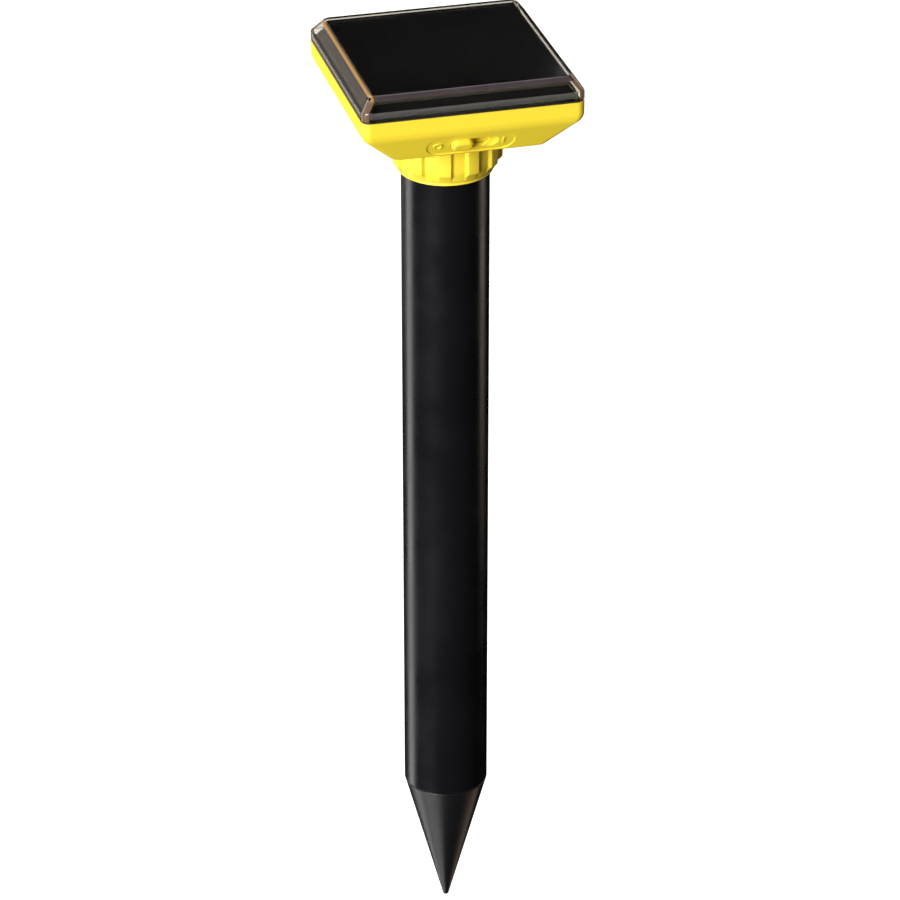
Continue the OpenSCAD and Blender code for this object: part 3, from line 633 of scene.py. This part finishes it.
tray_plastic = moulded_plastic("black_abs_moulded", "#0C0C0D", 0.3, 0.4, 0.3)
tray_wall = 1.6 * MM
tray_knee = panel_low[2] - 2.6 * MM
tray_shoulder = tray_high[0] - panel_high[0] - 0.2 * MM
screw_hole = 1.55 * MM
well_radius = 2.8 * MM
boss_radius = 3.8 * MM
well_floor = tray_low[2] + 2.6 * MM
boss_top = panel_low[2] - 0.5 * MM
bm = stepped_solid([(tray_low[2], tray_high[0], tray_high[1]), (tray_knee, tray_high[0], tray_high[1]),
                    (panel_low[2], tray_high[0] - tray_shoulder, tray_high[1] - tray_shoulder)], 1 * MM, 4)
round_edges_at(bm, tray_knee, 0.5 * MM, 3)
inner_x, inner_y = tray_high[0] - tray_wall, tray_high[1] - tray_wall
under_tray = plain_object(stepped_solid([(tray_low[2] - MM, inner_x, inner_y),
                                         (tray_knee - 0.5 * MM, inner_x, inner_y),
                                         (panel_low[2] - tray_wall, inner_x - MM, inner_y - MM)],
                                        0.6 * MM, 3))
bm = cut(bm, [under_tray], edge=0.15 * MM)
for sx, sy in four_ways:
    join_ring(bm, [(screw_hole, tray_low[2]), (boss_radius, tray_low[2]), (boss_radius, boss_top),
                   (well_radius, boss_top), (well_radius, well_floor), (screw_hole, well_floor)],
              (sx * tray_post_x, sy * tray_post_y, 0))
make_piece("panel_tray", bm, tray_plastic, "stake", ["panel_tray"])

# --- Seal and clear cover -----------------------------------------------------------------------
# A thin black rubber seal lies on the rim, and the clear polycarbonate cover snaps down on it. The rim of the
# cover's top and its corners get a second material with painted light in its colour, for the light a clear
# moulding gathers there.
gasket_low, gasket_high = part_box("cover_gasket")
rubber = moulded_plastic("black_rubber_moulded", "#201E14", 0.6, 0.3, 0.4)
seal_width = 1.7 * MM
bm = stepped_solid([(gasket_low[2], *gasket_high[:2]), (gasket_high[2], *gasket_high[:2])], corner)
seal_inside = [side - seal_width for side in gasket_high[:2]]
opening = plain_object(stepped_solid([(gasket_low[2] - MM, *seal_inside),
                                      (gasket_high[2] + MM, *seal_inside)], 1.2 * MM))
bm = cut(bm, [opening])
make_piece("cover_gasket", bm, rubber, "stake", ["cover_gasket"])

cover_low, cover_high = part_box("clear_cover")
cover_foot = gasket_high[2]
cover_thick = 2 * MM
bevel_height = 5.6 * MM
bevel_in = 4.3 * MM
lid_in = 3.28 * MM
tongue_x = 42.1 * MM
tongue_half_thick = 0.5 * MM
tongue_half_width = 4 * MM
tongue_top = cover_foot + 1.2 * MM
largest_smooth_face = 60 * MM ** 2


def clear_plastic(name, tint, roughness):
    """Polished clear polycarbonate. Lamps shine through it, so that what is under it is lit."""
    material = blank_material(name)
    glass = add(material, "BsdfPrincipled", {"Base Color": linear(tint), "Roughness": roughness, "IOR": 1.585,
                                             "Transmission Weight": 1.0})
    through = add(material, "BsdfTransparent", {"Color": linear("#E6E4DE")})
    ray = add(material, "LightPath")
    both = add(material, "MixShader", None, {0: (ray, "Is Shadow Ray"), 1: (glass, 0), 2: (through, 0)})
    return surface(material, both)


def painted_edge_light(name, top, side):
    """Painted light on the edges and corners of a clear moulding, for the light it gathers along the plate: a
    painted grey sheen at the top edge, a painted amber glow along its left side, and a painted brown glow in
    the corners below."""
    material = blank_material(name)
    place = add(material, "TexCoord")
    sides = add(material, "SeparateXYZ", None, {"Vector": (place, "Object")})
    left = add(material, "MapRange", {1: 5.5 * MM - side, 2: 4.8 * MM - side}, {0: (sides, 0)})
    upper = add(material, "MapRange", {1: top - 2.2 * MM, 2: top - 1.6 * MM}, {0: (sides, 2)})
    sheen_noise = add(material, "TexNoise", {"Scale": 1 / (9 * MM), "Detail": 3.0}, {"Vector": (place, "Object")})
    # These colours are painted light, not a tint of the plastic: a grey sheen at the top, an amber glow on
    # the left, a brown glow below.
    painted_grey_sheen = add(material, "Mix", {"data_type": "RGBA", 6: linear("#3E363A"), 7: linear("#5C5256")},
                {0: (sheen_noise, 0)})
    edge = add(material, "Mix", {"data_type": "RGBA", 7: linear("#C0945A")}, {0: (left, 0), 6: (painted_grey_sheen, 2)})
    shade = add(material, "Mix", {"data_type": "RGBA", 6: linear("#7A6450")}, {0: (upper, 0), 7: (edge, 2)})
    shader = add(material, "BsdfPrincipled", {"Roughness": 0.15, "IOR": 1.585, "Transmission Weight": 0.3},
                 {"Base Color": (shade, 2)})
    return surface(material, shader)


clear = clear_plastic("clear_polycarbonate", "#F6F3EC", 0.05)
# The second material paints the cover's edge light into its colour: a painted sheen and glow on the rim and
# corners.
painted_edge_glow = painted_edge_light("clear_polycarbonate_painted_edge_light", cover_high[2], half_w)
cover_knee = cover_high[2] - bevel_height
plate_foot = cover_high[2] - 1.8 * MM
plate_middle = cover_high[2] - 0.9 * MM
plate_steps = [(z, half_w - bevel_in * (z - cover_knee) / bevel_height,
                half_d - bevel_in * (z - cover_knee) / bevel_height) for z in (plate_foot, plate_middle)]
bm = stepped_solid([(cover_foot, half_w, half_d), (cover_knee, half_w, half_d), *plate_steps,
                    (cover_high[2], half_w - bevel_in, half_d - bevel_in)], corner)
round_edges_at(bm, cover_knee, 0.6 * MM, 3)
round_edges_at(bm, cover_high[2], 0.4 * MM, 3)
highest = [face for face in bm.faces if face.calc_center_median().z > cover_high[2] - 0.01 * MM]
top = max(highest, key=lambda face: face.calc_area())
bmesh.ops.inset_region(bm, faces=[top], thickness=0.8 * MM)
inner_w, inner_d = half_w - cover_thick, half_d - cover_thick
cover_hollow = plain_object(stepped_solid([(cover_foot - MM, inner_w, inner_d),
                                           (cover_knee - 0.68 * MM, inner_w, inner_d),
                                           (cover_high[2] - cover_thick, inner_w - lid_in, inner_d - lid_in)],
                                          1.2 * MM))
bm = cut(bm, [cover_hollow], edge=0.12 * MM, angle=50)
for sx, sy in four_ways:
    block(bm, (sx * tongue_x - tongue_half_thick, sy * half_d / 2 - tongue_half_width, cover_low[2]),
          (sx * tongue_x + tongue_half_thick, sy * half_d / 2 + tongue_half_width, tongue_top))
# The painted edge light goes on the rim of the top and on the upright corners. On the left it starts higher,
# and behind, the level part of the rim stays clear.
bm.normal_update()
for face in bm.faces:
    place = face.calc_center_median()
    edge_x, edge_y = half_w - abs(place.x), half_d - abs(place.y)
    plate_edge = (place.z > (plate_middle if place.x < 0 and edge_x < edge_y else plate_foot)
                  and face.normal.z > 0.2 and min(edge_x, edge_y) < bevel_in + 0.7 * MM
                  and not (face.normal.z > 0.9 and place.y > 0 and edge_y < edge_x))
    moulded_corner = (abs(face.normal.x) > 0.2 and abs(face.normal.y) > 0.2
                      and cover_foot < place.z < plate_foot and max(edge_x, edge_y) < bevel_in + corner
                      and face.normal.x * place.x > 0 and face.normal.y * place.y > 0)
    if plate_edge or moulded_corner:
        face.material_index = 1
cover = make_piece("clear_cover", bm, clear, "stake", ["clear_cover"])
cover.data.materials.append(painted_edge_glow)
# Large faces are shaded flat, or their smoothed edges would bend what they mirror.
for face in cover.data.polygons:
    face.use_smooth = face.area < largest_smooth_face

# --- Finishes of the pieces inside --------------------------------------------------------------
# These keep their CAD shape. Each gets the material that such a piece is made of.
finishes = {
    "tray_screws": "zinc", "board_screws": "zinc", "switch_screws": "zinc", "panel_leads": "wire",
    "switch_leads": "wire", "sounder_leads": "wire", "circuit_board": "board", "driver_chip": "chip",
    "charge_choke": "ferrite", "sounder_magnet": "ferrite", "smoothing_capacitor": "sleeve_blue",
    "cell_front": "sleeve_green", "cell_rear": "sleeve_green", "holder_front": "tray", "holder_rear": "tray",
    "contact_plates": "nickel", "contact_springs": "nickel", "switch_body": "nickel", "collar_clip": "nickel",
    "switch_lever": "nylon", "knob_carrier": "yellow", "neck_seal": "rubber", "sounder_case": "tray",
    "sounder_cone": "film", "foam_ring_top": "foam", "foam_ring_bottom": "foam",
}


def plated_metal(name, colour, roughness):
    """A plated steel: bright, with a faint unevenness in its polish."""
    material = blank_material(name)
    place = add(material, "TexCoord")
    cloud = add(material, "TexNoise", {"Scale": 1 / (2 * MM), "Detail": 4.0}, {"Vector": (place, "Object")})
    rough = add(material, "MapRange", {3: roughness - 0.06, 4: roughness + 0.08}, {0: (cloud, 0)})
    shader = add(material, "BsdfPrincipled", {"Base Color": linear(colour), "Metallic": 1.0},
                 {"Roughness": (rough, 0)})
    return surface(material, shader)


inside = {
    "zinc": plated_metal("zinc_plated_steel", "#B9BCC0", 0.34),
    "nickel": plated_metal("nickel_plated_steel", "#C9C5BC", 0.24),
    "wire": moulded_plastic("red_pvc_wire", "#A81C18", 0.45, 0.5, 0.2),
    "board": moulded_plastic("green_solder_mask", "#12562A", 0.3, 0.6, 0.3, mottle=0.15),
    "chip": moulded_plastic("black_epoxy_chip", "#141414", 0.55, 0.15, 0.4),
    "ferrite": moulded_plastic("sintered_ferrite", "#2B2B2E", 0.6, 0.25, 0.5),
    "sleeve_blue": moulded_plastic("blue_shrink_sleeve", "#14224E", 0.28, 2.0, 0.2),
    "sleeve_green": moulded_plastic("green_shrink_sleeve", "#3C8F45", 0.26, 3.0, 0.2),
    "tray": tray_plastic,
    "yellow": yellow,
    "nylon": moulded_plastic("natural_nylon_moulded", "#E6E2D6", 0.4, 0.4, 0.2),
    "rubber": rubber,
    "film": moulded_plastic("pressed_speaker_film", "#8D7A5C", 0.5, 0.4, 0.3, mottle=0.2),
    "foam": moulded_plastic("grey_open_foam", "#4A4A4E", 0.9, 0.8, 1.0, mottle=0.4),
}
for node, finish in finishes.items():
    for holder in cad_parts[node].material_slots:
        holder.material = inside[finish]
